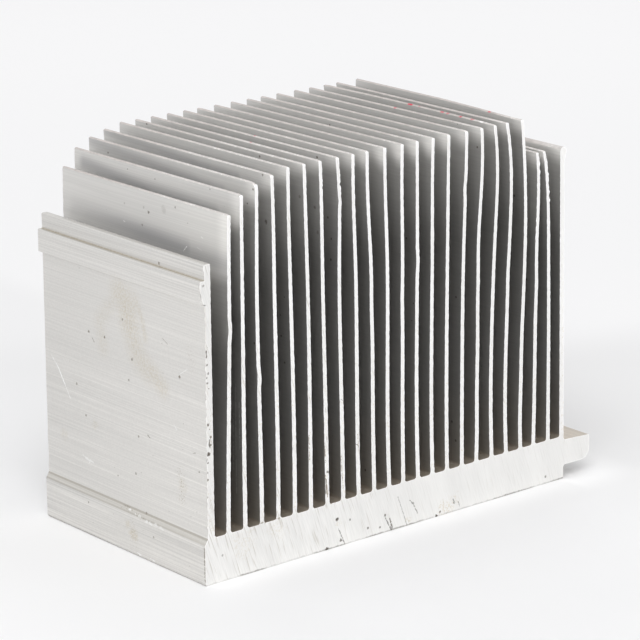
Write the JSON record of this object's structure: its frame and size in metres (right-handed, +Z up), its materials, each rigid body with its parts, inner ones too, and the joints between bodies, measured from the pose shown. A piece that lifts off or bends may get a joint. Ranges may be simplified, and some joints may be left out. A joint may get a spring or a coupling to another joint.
{
  "type": "extruded heat sink",
  "caption": "Sawn length of a high-finned extruded aluminium heat sink with a thick flat base, a rounded fin shoulder, a stepped clip bay and a side tongue.",
  "frame": {"origin": "on the underside of the base, under the middle of the whole piece", "axes": "+X across the fins towards the tongue, +Y along the extrusion away from the sawn end that the picture shows, +Z up from the base to the fin tips"},
  "size_m": [0.0882, 0.0456, 0.0681],
  "materials": {
    "aluminium": "mill finish along the extrusion, with bright sawn ends"
  },
  "bodies": {
    "root": {"heat_sink": "aluminium"}
  },
  "joints": []
}
